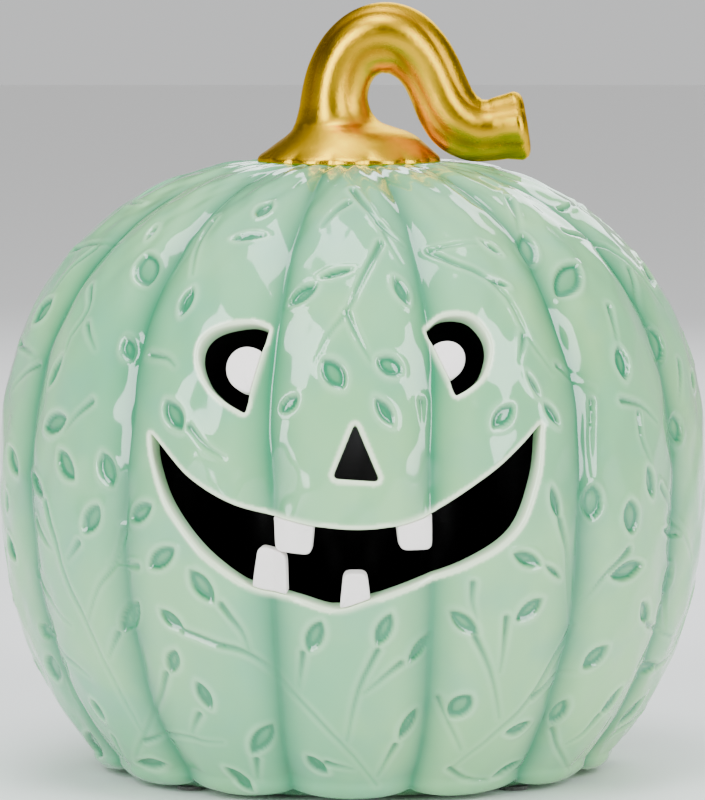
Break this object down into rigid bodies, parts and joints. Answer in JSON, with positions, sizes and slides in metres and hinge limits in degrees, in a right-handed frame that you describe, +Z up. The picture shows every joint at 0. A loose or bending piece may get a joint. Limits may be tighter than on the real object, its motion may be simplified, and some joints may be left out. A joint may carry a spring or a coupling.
{
  "type": "pumpkin lantern",
  "caption": "Ribbed ceramic pumpkin lantern with a carved face, a looped gold stem and a pull-out battery light unit in its base.",
  "frame": {"origin": "on the pumpkin's centre line, at the level it stands on", "axes": "+Z up, the carved face looks along -Y, +X to the viewer's right"},
  "size_m": [0.2, 0.2028, 0.2185],
  "materials": {
    "glaze": "glossy celadon glaze, thin and pale on raised edges",
    "gold_lustre": "satin gold lustre",
    "matte_white": "matte off-white slip",
    "felt_pad": "dark felt",
    "silicone": "matte translucent grey silicone",
    "case_plastic": "black moulded plastic, fine texture",
    "knob_plastic": "light grey plastic",
    "dome_plastic": "frosted plastic",
    "cell_label": "plain green sleeve, nickel ends",
    "nickel": "nickel plated",
    "circuit_board": "green board",
    "chip_plastic": "black moulded",
    "led_lens": "clear warm lens",
    "lead_red": "red insulation",
    "lead_black": "black insulation"
  },
  "bodies": {
    "pumpkin": {"pumpkin_shell": "glaze", "stem": "gold_lustre", "left_pupil": "matte_white", "right_pupil": "matte_white", "upper_left_tooth": "matte_white", "upper_right_tooth": "matte_white", "lower_left_tooth": "matte_white", "lower_right_tooth": "matte_white", "foot_pad_1": "felt_pad", "foot_pad_2": "felt_pad", "foot_pad_3": "felt_pad", "foot_pad_4": "felt_pad", "retaining_ring": "silicone"},
    "light_unit": {"light_case": "case_plastic", "case_lid": "case_plastic", "light_dome": "dome_plastic", "led": "led_lens", "circuit_board": "circuit_board", "timer_chip": "chip_plastic", "switch_body": "chip_plastic", "battery_1": "cell_label", "battery_2": "cell_label", "battery_3": "cell_label", "contact_spring_1": "nickel", "contact_spring_2": "nickel", "contact_spring_3": "nickel", "contact_tab_left": "nickel", "contact_tab_right": "nickel", "contact_bridge_left": "nickel", "contact_bridge_right": "nickel", "lid_screw_1": "nickel", "lid_screw_2": "nickel", "lid_screw_3": "nickel", "lid_screw_4": "nickel", "battery_lead_red": "lead_red", "battery_lead_black": "lead_black"},
    "battery_door": {"battery_door": "case_plastic"},
    "switch_knob": {"switch_knob": "knob_plastic"}
  },
  "joints": [
    {"name": "light_unit_pull", "type": "slide", "parent": "pumpkin", "child": "light_unit", "axis": [0, 0, -1], "range_m": [0, 0.045]},
    {"name": "door_hinge", "type": "hinge", "parent": "light_unit", "child": "battery_door", "pos_m": [-0.02375, 0, 0.0044], "axis": [0, 1, 0], "range_deg": [0, 95]},
    {"name": "switch_slide", "type": "slide", "parent": "light_unit", "child": "switch_knob", "axis": [1, 0, 0], "range_m": [0, 0.004]}
  ]
}
